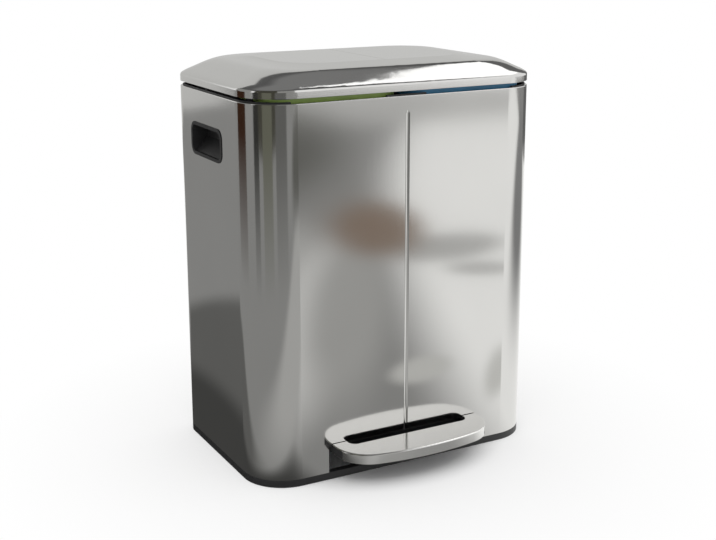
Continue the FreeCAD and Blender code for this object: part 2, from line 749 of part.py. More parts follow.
def make_lid_hinge():
    """Steel plate under the lid with two hinge arms, and between them the slotted crank that the rod turns."""
    arm = polygon(
        (f"{HINGE_Y} - knuckle_radius", HINGE_Z),
        (f"{HINGE_Y} + knuckle_radius", HINGE_Z),
        (f"{HINGE_Y} - knuckle_radius", f"{HINGE_Z} + hinge_arm_rise/2"),
        (f"{HINGE_Y} - 3*knuckle_radius", f"{HINGE_Z} + hinge_arm_rise"),
        (f"{HINGE_Y} - hinge_arm", f"{HINGE_Z} + hinge_arm_rise"),
        (f"{HINGE_Y} - hinge_arm", f"{HINGE_Z} + hinge_arm_rise - hinge_plate"),
        (f"{HINGE_Y} - 4*knuckle_radius", f"{HINGE_Z} + hinge_arm_rise - hinge_plate"),
    )
    outer = "ear_spread - ear_gap"
    spans = {
        "left": (f"-({outer})", f"-({outer} - ear_thickness)"),
        "middle": across("crank_thickness"),
        "right": (f"{outer} - ear_thickness", outer),
    }
    parts = []
    for name, span in spans.items():
        plate = body(f"hinge_arm_{name}")
        pad(plate, arm, "x", *span)
        parts += [plate, cylinder(f"hinge_eye_{name}", "knuckle_radius", "x", (HINGE_Y, HINGE_Z), span)]
    parts.append(box("hinge_top_plate", (f"-({outer})", outer),
                     (f"{HINGE_Y} - hinge_arm", f"{HINGE_Y} - 3*knuckle_radius"),
                     (f"{HINGE_Z} + hinge_arm_rise", HINGE_PLATE_TOP)))
    parts.append(make_crank())
    bore = cylinder("hinge_bore", "hinge_radius + run_gap", "x", (HINGE_Y, HINGE_Z), across("bracket_width"))
    holes = [cylinder(f"hinge_hole_{index}", "screw_radius + seat_gap", "z", spot,
                      (f"{HINGE_PLATE_TOP} - 2*hinge_plate", HINGE_PLATE_TOP))
             for index, spot in enumerate(lid_screws(), start=1)]
    return cut("lid_hinge", fuse("hinge_parts", *parts), bore, *holes)


def make_crank():
    """The crank at its resting slope, half the lid's opening below level, with a slot along it."""
    far = "sqrt(rod_reach^2 + (rod_travel/2)^2)"
    wide = "link_radius + link_play"
    half = f"({wide} + link_wall)"
    thick = across("crank_thickness")
    arm = fuse("crank_arm", box("crank_bar", thick, (f"-{far}", "0"), (f"-{half}", half)),
               cylinder("crank_end", half, "x", (f"-{far}", "0"), thick),
               cylinder("crank_hub", "knuckle_radius", "x", ("0", "0"), thick))
    slot = fuse("crank_slot", box("slot_run", across("3*crank_thickness"), (f"-{far}", "-rod_reach"),
                                  (f"-({wide})", wide)),
                cylinder("slot_far", wide, "x", (f"-{far}", "0"), across("3*crank_thickness")),
                cylinder("slot_near", wide, "x", ("-rod_reach", "0"), across("3*crank_thickness")))
    heel = box("crank_heel", across("3*crank_thickness"), ("-knuckle_radius/2", "2*knuckle_radius"),
               (f"-2*{half}", f"2*{half}"))
    trimmed = cut("crank_trimmed", arm, heel, slot)
    made = fuse("crank", trimmed, cylinder("crank_eye", "knuckle_radius", "x", ("0", "0"), thick))
    made.Placement = Placement(Vector(), Rotation(Vector(1, 0, 0), value("lid_opening/2")))
    bind(made, "Placement.Rotation.Angle", "lid_opening/2")
    bind(made, "Placement.Base.y", HINGE_Y)
    bind(made, "Placement.Base.z", HINGE_Z)
    return made


def make_pin(name, radius, centre, reach):
    """A plain round pin along X."""
    return cylinder(name, radius, "x", centre, (f"-({reach})", reach))


def make_clips(name, radius, centre, inner):
    """The two spring clips on a pin's ends."""
    clips = []
    for side, sign in SIDES.items():
        span = mirrored((inner, f"{inner} + hinge_plate/2"), sign)
        disc = cylinder(f"{name}_{side}_disc", f"1.8*{radius}", "x", centre, span)
        bore = cylinder(f"{name}_{side}_bore", f"{radius} + run_gap", "x", centre,
                        across(f"4*({inner})"))
        clips.append(cut(f"{name}_{side}", disc, bore))
    return group(name, *clips)


# ---------------------------------------------------------------- Push rod, guides and damper


def make_push_rod():
    return cylinder("push_rod", "rod_radius", "z", ("0", ROD_Y),
                    (f"{ROD_FOOT} + foot_cap_height/2", ROD_TOP))


def make_rod_head():
    """The fork on top of the rod, which straddles the crank."""
    block = box("head_block", across("head_width"), (f"{ROD_Y} - head_depth/2", f"{ROD_Y} + head_depth/2"),
                (f"{LINK_Z} - {HEAD_GAP} - head_depth", f"{LINK_Z} + head_depth/2"))
    gap = box("head_gap", across("crank_thickness + 2*ear_gap"),
              (f"{ROD_Y} - head_depth", f"{ROD_Y} + head_depth"),
              (f"{LINK_Z} - {HEAD_GAP}", f"{LINK_Z} + head_depth"))
    socket = cylinder("head_socket", "rod_radius + run_gap", "z", ("0", ROD_Y),
                      (f"{LINK_Z} - {HEAD_GAP} - 2*head_depth", ROD_TOP))
    bore = cylinder("head_bore", "link_radius + run_gap", "x", (ROD_Y, LINK_Z), across("2*head_width"))
    return cut("rod_head", block, gap, socket, bore)


def make_rod_foot():
    cap = cylinder("foot_cap", "foot_cap_radius", "z", ("0", ROD_Y),
                   (ROD_FOOT, f"{ROD_FOOT} + foot_cap_height"))
    socket = cylinder("foot_socket", "rod_radius + run_gap", "z", ("0", ROD_Y),
                      (f"{ROD_FOOT} + foot_cap_height/2", f"{ROD_FOOT} + 2*foot_cap_height"))
    return cut("rod_foot", cap, socket)


def make_channel():
    """Moulded cover behind the buckets, open at the back, which the rod and the damper run in."""
    back = f"{REAR} - {COLLAR_OUT}"
    block = box("channel_block", across("channel_width"), (CHANNEL_FRONT, back), (FLOOR_TOP, CHANNEL_TOP))
    inside = box("channel_inside", across("channel_width - 2*channel_wall"),
                 (f"{CHANNEL_FRONT} + channel_wall", REAR), ("floor_height", "shell_top"))
    return cut("rear_channel", block, inside)


def make_guides():
    """Blocks across the channel: two guide the rod, the middle one carries the damper."""
    wide = across("channel_width - 2*channel_wall - 2*seat_gap")
    deep = (f"{CHANNEL_FRONT} + channel_wall + seat_gap", f"{REAR} - {COLLAR_OUT} - seat_gap")
    blocks = []
    for name, low in (("low", "guide_low"), ("seat", "damper_low - guide_height"), ("high", GUIDE_HIGH)):
        block = box(f"guide_{name}_block", wide, deep, (low, f"{low} + guide_height"))
        bore = cylinder(f"guide_{name}_bore", "rod_radius + run_gap", "z", ("0", ROD_Y),
                        (f"{low} - guide_height", f"{low} + 2*guide_height"))
        blocks.append(cut(f"guide_{name}", block, bore))
    return group("rod_guides", *blocks)


def make_damper():
    """Sealed cylinder on the middle guide; its stem and piston rise with the push rod."""
    centre = ("damper_side", DAMPER_Y)
    top = "(damper_low + damper_length)"
    case = cut(
        "damper_cylinder",
        cylinder("damper_case", "damper_radius", "z", centre, ("damper_low", top)),
        cylinder("damper_hollow", "damper_bore", "z", centre,
                 ("damper_low + damper_wall", f"{top} - damper_wall")),
        cylinder("damper_gland", "damper_stem + run_gap", "z", centre,
                 (f"{top} - 2*damper_wall", f"{top} + damper_wall")),
    )
    piston_low = "damper_low + damper_wall + lift_gap"
    stem = fuse(
        "damper_stem_and_piston",
        cylinder("damper_piston", "damper_bore - run_gap", "z", centre,
                 (piston_low, f"{piston_low} + piston_height")),
        cylinder("damper_rod", "damper_stem", "z", centre, (piston_low, f"{YOKE_Z} + yoke_height")),
    )
    stem.Label = "damper_stem"
    plate = box("yoke_block", ("-2*rod_radius", "damper_side + 2*damper_stem"),
                (f"{ROD_Y} - 1.5*rod_radius", f"{DAMPER_Y} + 2*damper_stem"),
                (YOKE_Z, f"{YOKE_Z} + yoke_height"))
    through = (f"{YOKE_Z} - yoke_height", f"{YOKE_Z} + 2*yoke_height")
    yoke = cut(
        "damper_yoke",
        plate,
        cylinder("yoke_rod_bore", "rod_radius + run_gap", "z", ("0", ROD_Y), through),
        cylinder("yoke_stem_bore", "damper_stem + run_gap", "z", centre, through),
    )
    return [case, stem, yoke]


# ---------------------------------------------------------------- Pedal


def bow(inset, back):
    """The pedal's outline from above, drawn in by inset: straight at the back, with a bowed front."""
    half, corner, arc = [f"({size} - ({inset}))" for size in ("pedal_width/2", "pedal_corner", "pedal_bow")]
    middle = f"({FRONT} - pedal_reach + pedal_bow)"

    def draw(made):
        wide, small, big, centre = [value(text) for text in (half, corner, arc, middle)]
        rear = value(back)
        side = wide - small
        drop = ((big - small) ** 2 - side ** 2) ** 0.5
        turn = Vector(side, -drop, 0).getAngle(Vector(1, 0, 0))
        full = Vector(1, 0, 0).getAngle(Vector(-1, 0, 0))

        def line(start, end):
            made.addGeometry(Part.LineSegment(Vector(*start), Vector(*end)))

        def arc_round(x, y, radius, start, end):
            ring = Part.Circle(Vector(x, y), Vector(0, 0, 1), radius)
            made.addGeometry(Part.ArcOfCircle(ring, start, end))

        line((wide, rear), (-wide, rear))
        line((-wide, rear), (-wide, centre - drop))
        arc_round(-side, centre - drop, small, full, full + turn)
        arc_round(0, centre, big, full + turn, 2 * full - turn)
        arc_round(side, centre - drop, small, 2 * full - turn, 2 * full)
        line((wide, centre - drop), (wide, rear))
        chain(made, list(range(6)))
        for edge, kind in ((0, "Horizontal"), (1, "Vertical"), (5, "Vertical")):
            made.addConstraint(Sketcher.Constraint(kind, edge))
        for edge, text in ((2, corner), (4, corner), (3, arc)):
            fix(made, "Radius", edge, text)
        fix(made, "DistanceY", -1, 1, 0, 1, back)
        fix(made, "DistanceX", -1, 1, 1, 1, f"-{half}")
        fix(made, "DistanceX", -1, 1, 5, 1, half)
        made.addConstraint(Sketcher.Constraint("PointOnObject", 3, 3, -2))
        fix(made, "DistanceY", -1, 1, 3, 3, middle)

    return draw


def slot_outline():
    """The slot between the pedal and the shell, drawn on past the shell's face so that its rear is open."""
    return rounded(
        ("-(pedal_width/2 - pedal_slot_side)", "pedal_width/2 - pedal_slot_side"),
        (f"{FRONT} - pedal_slot_reach", f"{FRONT} + pedal_slot_reach"),
        "pedal_slot_radius",
    )


def make_pedal_cover():
    """Steel bow with a long slot, a rounded front edge and a skirt folded down round its front."""
    skin = body("pedal_cover")
    low, under = "pedal_top - pedal_skirt", "pedal_top - pedal_sheet"
    spare = f"{PEDAL_BACK} + 2*pedal_round"
    pad(skin, bow("0", spare), "z", low, "pedal_top")
    fillet(skin, "pedal_top", "pedal_round")
    pocket(skin, rectangle(across("2*pedal_width"), (PEDAL_BACK, spare)), "z", low, "pedal_top")
    pocket(skin, bow("pedal_sheet", f"{FRONT} + pedal_sheet"), "z", low, under)
    cut_back = (f"{FRONT} - pedal_skirt_start", f"{FRONT} + pedal_sheet")
    pocket(skin, rectangle(across("2*pedal_width"), cut_back), "z", low, under)
    pocket(skin, slot_outline(), "z", low, "pedal_top")
    return skin


def make_pedal_body():
    """Moulded carrier inside the steel bow, with a tongue that passes through the shell's notch."""
    block = body("pedal_body")
    low, high = "pedal_top - pedal_skirt + pedal_sheet", "pedal_top - pedal_sheet - seat_gap"
    pad(block, bow("pedal_sheet + seat_gap", PEDAL_BACK), "z", low, high)
    pad(block, rectangle(across(TONGUE_WIDE), (f"{PEDAL_BACK} - tongue_overlap", f"{FRONT} + tongue_length")),
        "z", TONGUE_LOW, TONGUE_HIGH)
    pocket(block, slot_outline(), "z", "pedal_top - pedal_floor", high)
    pocket(block, bow("4*pedal_sheet", f"{PEDAL_BACK} - 3*pedal_sheet"), "z", low,
           "pedal_top - pedal_floor - 2*pedal_sheet")
    pocket(block, circles("screw_radius", *pedal_screws()), "z", TONGUE_LOW,
           f"{TONGUE_HIGH} - tongue_thickness/4")
    return block


def pedal_screws():
    return [(x, f"{FRONT} + lever_tab/2") for x in ("-lever_width/4", "lever_width/4")]


def make_lever():
    """Channel-section lever under the floor, from the pedal's tongue to a rolled tip under the push rod."""
    lever = body("pedal_lever_bar")
    front, bend, end = f"{FRONT} + 2", f"{FRONT} + lever_tab + 6", ROD_Y
    top, tail = TONGUE_LOW, f"({TIP_Z} + lever_tip - lever_drop)"

    def bar(depth, drop, spare):
        start, stop = f"({bend} + ({spare}))", f"({end} - ({spare}))"
        return polygon(
            (start, f"{top} - ({drop})"), (stop, f"{tail} - ({drop})"),
            (stop, f"{tail} - ({depth})"), (start, f"{top} - ({depth})"),
        )

    pad(lever, polygon((front, top), (bend, top), (end, tail), (end, f"{tail} - lever_wall"),
                       (bend, f"{top} - lever_wall"), (front, f"{top} - lever_wall")),
        "x", *across("lever_width"))
    pad(lever, bar("lever_depth", "lever_wall/2", "lever_tip*3"), "x", *across("lever_width"))
    inside = across("lever_width - 2*lever_wall")
    pocket(lever, bar("lever_depth + 1", "lever_wall", "lever_tip"), "x", *inside)
    pocket(lever, circles("screw_radius + seat_gap", *pedal_screws()), "z",
           f"{TONGUE_LOW} - 2*lever_wall", TONGUE_LOW)
    tip = cylinder("lever_tip_roll", "lever_tip", "x", (ROD_Y, TIP_Z), across("lever_width"))
    bore = cylinder("lever_bore", "pivot_radius + run_gap", "x", (PIVOT_Y, "pivot_height"),
                    across("2*lever_width"))
    return cut("pedal_lever", fuse("lever_parts", lever, tip), bore)


def make_lever_bracket():
    """Steel bracket under the floor whose ears carry the lever's pin."""
    long = (f"{PIVOT_Y} - bracket_length/2", f"{PIVOT_Y} + bracket_length/2")
    ear = (f"{PIVOT_Y} - bracket_ear/2", f"{PIVOT_Y} + bracket_ear/2")
    inner = "lever_width/2 + lift_gap"
    parts = [box("lever_bracket_plate", across("2.6*lever_width"), long,
                 ("floor_height - bracket_wall", "floor_height"))]
    for side, sign in SIDES.items():
        span = mirrored((inner, f"{inner} + bracket_wall"), sign)
        parts += [box(f"{side}_lever_ear", span, ear, ("pivot_height", "floor_height")),
                  cylinder(f"{side}_lever_eye", "bracket_ear/2", "x", (PIVOT_Y, "pivot_height"), span)]
    bore = cylinder("lever_bracket_bore", "pivot_radius + run_gap", "x", (PIVOT_Y, "pivot_height"),
                    across("3*lever_width"))
    holes = [cylinder(f"lever_bracket_hole_{index}", "screw_radius + seat_gap", "z", spot,
                      ("floor_height - 2*bracket_wall", "floor_height"))
             for index, spot in enumerate(bracket_screws(), start=1)]
    return cut("lever_bracket", fuse("lever_bracket_parts", *parts), bore, *holes)


# ---------------------------------------------------------------- Buckets


def make_bucket(side, sign):
    """A tapered bucket with a flanged rim and a lug each side for its handle."""
    name = f"{side}_bucket"
    middle = f"{sign}*{BUCKET_PITCH}/2"
    shape = body(name + "_shape")

    def loft(kind, inset, low, low_inset):
        levels = []
        for height, drawn_in in ((low, low_inset), (BUCKET_RIM, inset)):
            level = sketch(shape, "z", height)
            bucket_outline(middle, f"-({drawn_in})")(level)
            levels.append(level)
        made = shape.newObject("PartDesign::" + kind, shape.Name + "_loft")
        made.Profile = levels[0]
        made.Sections = levels[1:]
        made.Ruled = True

    loft("AdditiveLoft", "0", BUCKET_LOW, "bucket_draft")
    pad(shape, bucket_outline(middle, "flange_width"), "z", f"{BUCKET_RIM} - flange_height", BUCKET_RIM)
    loft("SubtractiveLoft", "bucket_wall", f"{BUCKET_LOW} + bucket_wall", "bucket_draft + bucket_wall")
    lugs = []
    for place_name, span in lug_spans(middle).items():
        lugs += [cylinder(f"{name}_{place_name}_lug", "lug_radius", "x", (BUCKET_Y, STUD_Z), span),
                 box(f"{name}_{place_name}_base", span,
                     (f"{BUCKET_Y} - lug_radius", f"{BUCKET_Y} + lug_radius"),
                     (f"{BUCKET_RIM} - flange_height", STUD_Z))]
    bore = cylinder(f"{name}_bore", "stud_radius + run_gap", "x", (BUCKET_Y, STUD_Z),
                    (f"{middle} - {BUCKET_WIDE}", f"{middle} + {BUCKET_WIDE}"))
    under = box(f"{name}_under", (f"{middle} - {BUCKET_WIDE}", f"{middle} + {BUCKET_WIDE}"),
                (f"{BUCKET_Y} - 3*lug_radius", f"{BUCKET_Y} + 3*lug_radius"),
                (f"{BUCKET_RIM} - 3*lug_radius", f"{BUCKET_RIM} - flange_height"))
    lugged = cut(f"{name}_lugs", fuse(f"{name}_lug_parts", *lugs), bore, under)
    return fuse(name, shape, lugged)


def lug_spans(middle):
    """Where the lugs stand on X, just over each side wall."""
    inner = f"({BUCKET_WIDE}/2 - bucket_wall)"
    outer = f"({inner} + lug_thickness)"
    return {"low": (f"{middle} - {outer}", f"{middle} - {inner}"),
            "high": (f"{middle} + {inner}", f"{middle} + {outer}")}


def make_bail(side, sign):
    """A bucket's handle: a flat coloured bar round the front of the rim, on two studs."""
    name = f"{side}_bail"
    middle = f"{sign}*{BUCKET_PITCH}/2"
    reach = f"({BUCKET_WIDE}/2 - bucket_wall + lug_thickness + rest_gap + bail_arm)"
    front = f"{BUCKET_NEAR} - flange_width"
    bar = body(name + "_bar")
    high = f"{BAIL_LOW} + bail_height"
    outside = rounded((f"{middle} - {reach}", f"{middle} + {reach}"), (front, BUCKET_Y),
                      "bail_radius", "rest_gap")
    inside = rounded((f"{middle} - {reach} + bail_arm", f"{middle} + {reach} - bail_arm"),
                     (f"{front} + bail_depth", f"{BUCKET_Y} + bail_depth"),
                     "bail_radius - bail_arm", "rest_gap")
    pad(bar, outside, "z", BAIL_LOW, high)
    pocket(bar, inside, "z", BAIL_LOW, high)
    ends = []
    for end, side_sign in (("low", "-"), ("high", "+")):
        arm = [f"{middle} {side_sign} {reach}", f"{middle} {side_sign} ({reach} - bail_arm)"]
        stud = [arm[1], f"{middle} {side_sign} ({BUCKET_WIDE}/2 - bucket_wall)"]
        arm, stud = [pair if side_sign == "-" else pair[::-1] for pair in (arm, stud)]
        ends += [cylinder(f"{name}_{end}_eye", "bail_height/2", "x", (BUCKET_Y, STUD_Z), arm),
                 cylinder(f"{name}_{end}_stud", "stud_radius", "x", (BUCKET_Y, STUD_Z), stud)]
    return fuse(name, bar, *ends)


# ---------------------------------------------------------------- Screws


def make_screws(name, axis, spots, seat, length, away):
    """Screws along an axis: the head lies on seat, on the side that away names, and the shank on the other."""
    parts = []
    for index, spot in enumerate(spots, start=1):
        if away == "-":
            head, shank = (f"{seat} - head_height", seat), (seat, f"{seat} + {length}")
        else:
            head, shank = (seat, f"{seat} + head_height"), (f"{seat} - {length}", seat)
        parts.append(fuse(f"{name}_{index}", cylinder(f"{name}_{index}_head", "screw_head", axis, spot, head),
                          cylinder(f"{name}_{index}_shank", "screw_radius - run_gap", axis, spot, shank)))
    return group(name, *parts)


# ---------------------------------------------------------------- Build and write


def build_nodes():
    """Every separate piece, by the name of its file."""
    collar_face = f"({REAR} - {COLLAR_IN} - seat_gap - bracket_plate)"
    nodes = {
        "shell": make_shell(),
        "base_ring": make_base_ring(),
        "rubber_feet": make_feet(),
        "base_floor": make_floor(),
        "collar": make_collar(),
        "lid_bumpers": make_bumpers(),
        "lid_cover": make_lid_cover(),
        "lid_liner": make_lid_liner(),
        "lid_hinge": make_lid_hinge(),
        "hinge_bracket": make_hinge_bracket(),
        "hinge_pin": make_pin("hinge_pin", "hinge_radius", (HINGE_Y, HINGE_Z), "ear_spread + 2*ear_thickness"),
        "hinge_clips": make_clips("hinge_clips", "hinge_radius", (HINGE_Y, HINGE_Z),
                                  "(ear_spread + ear_thickness + seat_gap)"),
        "push_rod": make_push_rod(),
        "rod_head": make_rod_head(),
        "rod_foot": make_rod_foot(),
        "link_pin": make_pin("link_pin", "link_radius", (ROD_Y, LINK_Z), "head_width/2 + hinge_plate"),
        "rear_channel": make_channel(),
        "rod_guides": make_guides(),
        "pedal_cover": make_pedal_cover(),
        "pedal_body": make_pedal_body(),
        "pedal_lever": make_lever(),
        "lever_bracket": make_lever_bracket(),
        "lever_pin": make_pin("lever_pin", "pivot_radius", (PIVOT_Y, "pivot_height"),
                              "lever_width/2 + lift_gap + 2*bracket_wall"),
        "lever_clips": make_clips("lever_clips", "pivot_radius", (PIVOT_Y, "pivot_height"),
                                  "(lever_width/2 + lift_gap + bracket_wall + seat_gap)"),
        "bracket_screws": make_screws("bracket_screws", "z", bracket_screws(), "(floor_height - bracket_wall)",
                                      "(bracket_wall + floor_plate)", "-"),
        "hinge_screws": make_screws("hinge_screws", "y", hinge_screws(), collar_face,
                                    "(screw_length/2 + bracket_plate)", "-"),
        "lid_screws": make_screws("lid_screws", "z", lid_screws(), f"({HINGE_PLATE_TOP} - hinge_plate)",
                                  "(screw_length/2 + hinge_plate)", "-"),
        "pedal_screws": make_screws("pedal_screws", "z", pedal_screws(), f"({TONGUE_LOW} - lever_wall)",
                                    "(lever_wall + screw_length/2)", "-"),
    }
    nodes["damper_cylinder"], nodes["damper_stem"], nodes["damper_yoke"] = make_damper()
    for side, sign in SIDES.items():
        nodes[f"{side}_grip"] = make_grip(side)
        nodes[f"{side}_grip_retainer"] = make_retainer(side)
        nodes[f"{side}_bucket"] = make_bucket(side, sign)
        nodes[f"{side}_bail"] = make_bail(side, sign)
    return nodes


def make_retainer(side):
    """The frame inside the shell that holds a grip's cup in its cut-out."""
    low = "sheet_wall + seat_gap"
    plate = grip_block(f"{side}_retainer_plate", side, "retainer_width", low, f"{low} + retainer_wall")
    hole = grip_block(f"{side}_retainer_hole", side, "seat_gap", "0", "grip_depth")
    return cut(f"{side}_grip_retainer", plate, hole)


def check(nodes):
    """Every object has to be sound, every pocket has to have cut, and every node has to hold valid solids."""
    for made in doc.Objects:
        if {"Invalid", "Error"} & set(made.State):
            raise ValueError(f"{made.Name} failed: {made.State}")
        if made.TypeId == "PartDesign::Pocket" and made.Shape.Volume >= made.BaseFeature.Shape.Volume:
            raise ValueError(f"{made.Name} cuts nothing")
    for name, made in nodes.items():
        if made.Shape.isNull() or not made.Shape.isValid() or not made.Shape.Solids:
            raise ValueError(f"{name} has no sound shape")


def main():
    nodes = build_nodes()
    doc.recompute()
    check(nodes)
    os.makedirs("parts", exist_ok=True)
    for name, made in nodes.items():
        made.Label = name
        made.Shape.exportStep(f"parts/{name}.step")
        print(f"{name}: {len(made.Shape.Solids)} solids, {made.Shape.Volume:.0f} mm3")


main()
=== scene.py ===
import json
import math

import bpy
from mathutils import Matrix, Vector


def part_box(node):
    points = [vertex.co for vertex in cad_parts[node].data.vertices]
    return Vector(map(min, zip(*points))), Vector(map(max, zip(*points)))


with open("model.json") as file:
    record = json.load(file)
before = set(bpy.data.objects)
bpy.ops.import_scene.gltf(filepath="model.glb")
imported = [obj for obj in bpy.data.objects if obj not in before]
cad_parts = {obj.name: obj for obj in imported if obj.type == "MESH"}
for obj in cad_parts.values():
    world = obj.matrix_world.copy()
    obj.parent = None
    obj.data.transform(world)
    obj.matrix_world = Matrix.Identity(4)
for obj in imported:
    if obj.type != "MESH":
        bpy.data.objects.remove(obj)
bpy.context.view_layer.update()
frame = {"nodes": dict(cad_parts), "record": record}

# The double recycling bin, dressed as in the photograph and lit evenly on white, inside a stage that shows
# only in reflections. Metres, +Z up, the front faces -Y.

NODES = frame["nodes"]

IMAGE_WIDTH = 716
IMAGE_HEIGHT = 540

SHELL_LOW, SHELL_HIGH = [Vector(corner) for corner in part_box("shell")]
MIDDLE = Vector(((SHELL_LOW.x + SHELL_HIGH.x) / 2, (SHELL_LOW.y + SHELL_HIGH.y) / 2, 0))

WHITE = (1.0, 1.0, 1.0)

# Worn edges: samples of the rounded normal, and the cosines between which the wear fades out.
EDGE_SAMPLES = 4
EDGE_TURN = (0.86, 0.99)


# ---------------------------------------------------------------- Node helpers


class Shader:
    """A material's node tree with short calls for the nodes that the finishes use."""

    def __init__(self, name):
        self.material = bpy.data.materials.new(name)
        self.material.use_nodes = True
        self.tree = self.material.node_tree
        self.tree.nodes.clear()
        self.output = self.node("ShaderNodeOutputMaterial")

    def node(self, kind, **settings):
        made = self.tree.nodes.new(kind)
        for name, value in settings.items():
            setattr(made, name, value)
        return made

    def join(self, source, target):
        self.tree.links.new(source, target)

    def surface(self, made):
        self.join(made.outputs[0], self.output.inputs["Surface"])
        return self.material

    def places(self, stretch=(1, 1, 1)):
        """The object's own coordinates, in metres, times stretch along each axis."""
        coordinates = self.node("ShaderNodeTexCoord")
        mapping = self.node("ShaderNodeMapping")
        mapping.inputs["Scale"].default_value = stretch
        self.join(coordinates.outputs["Object"], mapping.inputs["Vector"])
        return mapping.outputs["Vector"]

    def noise(self, scale, detail, rough=0.55, stretch=(1, 1, 1)):
        """Noise of scale features a metre, from 0 to 1, drawn out where stretch is short."""
        made = self.node("ShaderNodeTexNoise")
        made.inputs["Scale"].default_value = scale
        made.inputs["Detail"].default_value = detail
        made.inputs["Roughness"].default_value = rough
        self.join(self.places(stretch), made.inputs["Vector"])
        return made.outputs["Fac"]

    def remap(self, source, low, high, low_in=0.3, high_in=0.7):
        """A value that runs from low to high as the source runs from low_in to high_in."""
        made = self.node("ShaderNodeMapRange")
        ends = {"From Min": low_in, "From Max": high_in, "To Min": low, "To Max": high}
        for name, value in ends.items():
            made.inputs[name].default_value = value
        self.join(source, made.inputs["Value"])
        return made.outputs["Result"]

    def math(self, operation, first, second):
        """The result of one sum on two values; each is a number or a socket."""
        made = self.node("ShaderNodeMath", operation=operation)
        for socket, value in zip(made.inputs, (first, second)):
            if isinstance(value, (int, float)):
                socket.default_value = value
            else:
                self.join(value, socket)
        return made.outputs["Value"]

    def colours(self, share, first, second):
        """A colour between first and second by a share from 0 to 1; each is a colour or a socket."""
        made = self.node("ShaderNodeMix", data_type="RGBA")
        self.join(share, made.inputs["Factor"])
        for socket, value in ((made.inputs[6], first), (made.inputs[7], second)):
            if isinstance(value, tuple):
                socket.default_value = (*value, 1)
            else:
                self.join(value, socket)
        return made.outputs[2]

    def edges(self, width):
        """A share that rises from 0 to 1 on worn edges, where a rounded normal leaves the true one."""
        soft = self.node("ShaderNodeBevel", samples=EDGE_SAMPLES)
        soft.inputs["Radius"].default_value = width
        true = self.node("ShaderNodeNewGeometry")
        dot = self.node("ShaderNodeVectorMath", operation="DOT_PRODUCT")
        self.join(soft.outputs["Normal"], dot.inputs[0])
        self.join(true.outputs["Normal"], dot.inputs[1])
        return self.remap(dot.outputs["Value"], 1, 0, *EDGE_TURN)

    def bump(self, height, strength, distance):
        """A normal that follows a height, which stands for distance metres at its full strength."""
        made = self.node("ShaderNodeBump")
        made.inputs["Strength"].default_value = strength
        made.inputs["Distance"].default_value = distance
        self.join(height, made.inputs["Height"])
        return made.outputs["Normal"]


def shade(colour, factor):
    """A colour made lighter or darker by a factor."""
    return tuple(min(part * factor, 1) for part in colour)


# ---------------------------------------------------------------- Finishes

# In metres: the worn edges' widths, and the depths of the brushing, the moulded grain and the pores.
STEEL_EDGE = 0.0006
PLASTIC_EDGE = 0.0008
STREAK_DEPTH = 0.0002
GRAIN_DEPTH = 0.00008
PORE_DEPTH = 0.00015

# How much of the steel's tone the brushing and the worn edges take, and how far smudges change its
# roughness.
STREAK_SHARE = 0.35
STEEL_WEAR = 0.4
SMUDGE = 0.03


def steel(name, colour, roughness, grain):
    """Stainless steel: brushed along the axis where grain is lowest, faintly smudged, with bright edges."""
    look = Shader(name)
    skin = look.node("ShaderNodeBsdfPrincipled")
    skin.inputs["Metallic"].default_value = 1
    streaks = look.noise(1, detail=6, rough=0.7, stretch=grain)
    clouds = look.noise(5, detail=2)
    tone = look.colours(look.remap(clouds, 0, 1), shade(colour, 0.975), shade(colour, 1.02))
    tone = look.colours(look.remap(streaks, 0, STREAK_SHARE), tone, shade(colour, 0.94))
    worn = look.math("MULTIPLY", look.edges(STEEL_EDGE), STEEL_WEAR)
    tone = look.colours(worn, tone, shade(colour, 1.12))
    look.join(tone, skin.inputs["Base Color"])
    brushed = look.remap(streaks, roughness * 0.9, roughness * 1.12)
    smudges = look.remap(clouds, -SMUDGE / 2, SMUDGE / 2)
    look.join(look.math("ADD", brushed, smudges), skin.inputs["Roughness"])
    look.join(look.bump(streaks, 0.04, STREAK_DEPTH), skin.inputs["Normal"])
    return look.surface(skin)


def plastic(name, colour, roughness=0.45, grain=1400, wear=0.35):
    """Moulded plastic: a fine grain, slight clouding and paler rubbed edges."""
    look = Shader(name)
    skin = look.node("ShaderNodeBsdfPrincipled")
    pores = look.noise(grain, detail=3, rough=0.6)
    clouds = look.noise(14, detail=3)
    tone = look.colours(look.remap(clouds, 0, 1), shade(colour, 0.88), shade(colour, 1.14))
    rubbed = look.math("MULTIPLY", look.edges(PLASTIC_EDGE), look.remap(clouds, wear * 0.3, wear))
    tone = look.colours(rubbed, tone, shade(colour, 1.9))
    look.join(tone, skin.inputs["Base Color"])
    look.join(look.remap(clouds, roughness - 0.06, roughness + 0.07), skin.inputs["Roughness"])
    look.join(look.bump(pores, 0.5, GRAIN_DEPTH), skin.inputs["Normal"])
    return look.surface(skin)


def rubber(name, colour):
    """Matt rubber with a dusty bloom in its pores."""
    look = Shader(name)
    skin = look.node("ShaderNodeBsdfPrincipled")
    pores = look.noise(900, detail=5, rough=0.7)
    tone = look.colours(look.remap(pores, 0, 1), shade(colour, 0.8), shade(colour, 1.5))
    look.join(tone, skin.inputs["Base Color"])
    look.join(look.remap(pores, 0.75, 0.92), skin.inputs["Roughness"])
    look.join(look.bump(pores, 0.6, PORE_DEPTH), skin.inputs["Normal"])
    return look.surface(skin)


# ---------------------------------------------------------------- Which finish each piece has

STEEL = (0.72, 0.715, 0.70)

# Features a metre along X, Y and Z: the brushing runs along Z, or along X.
VERTICAL_GRAIN = (2600, 2600, 30)
LENGTHWISE_GRAIN = (30, 2600, 2600)

BLACK = (0.022, 0.022, 0.023)
# The green and blue are lighter than the pieces' own colours: painted light that offsets the shade in the
# gap under the lid.
LIGHTENED_GREEN = (0.31, 0.46, 0.09)
LIGHTENED_BLUE = (0.042, 0.235, 0.44)

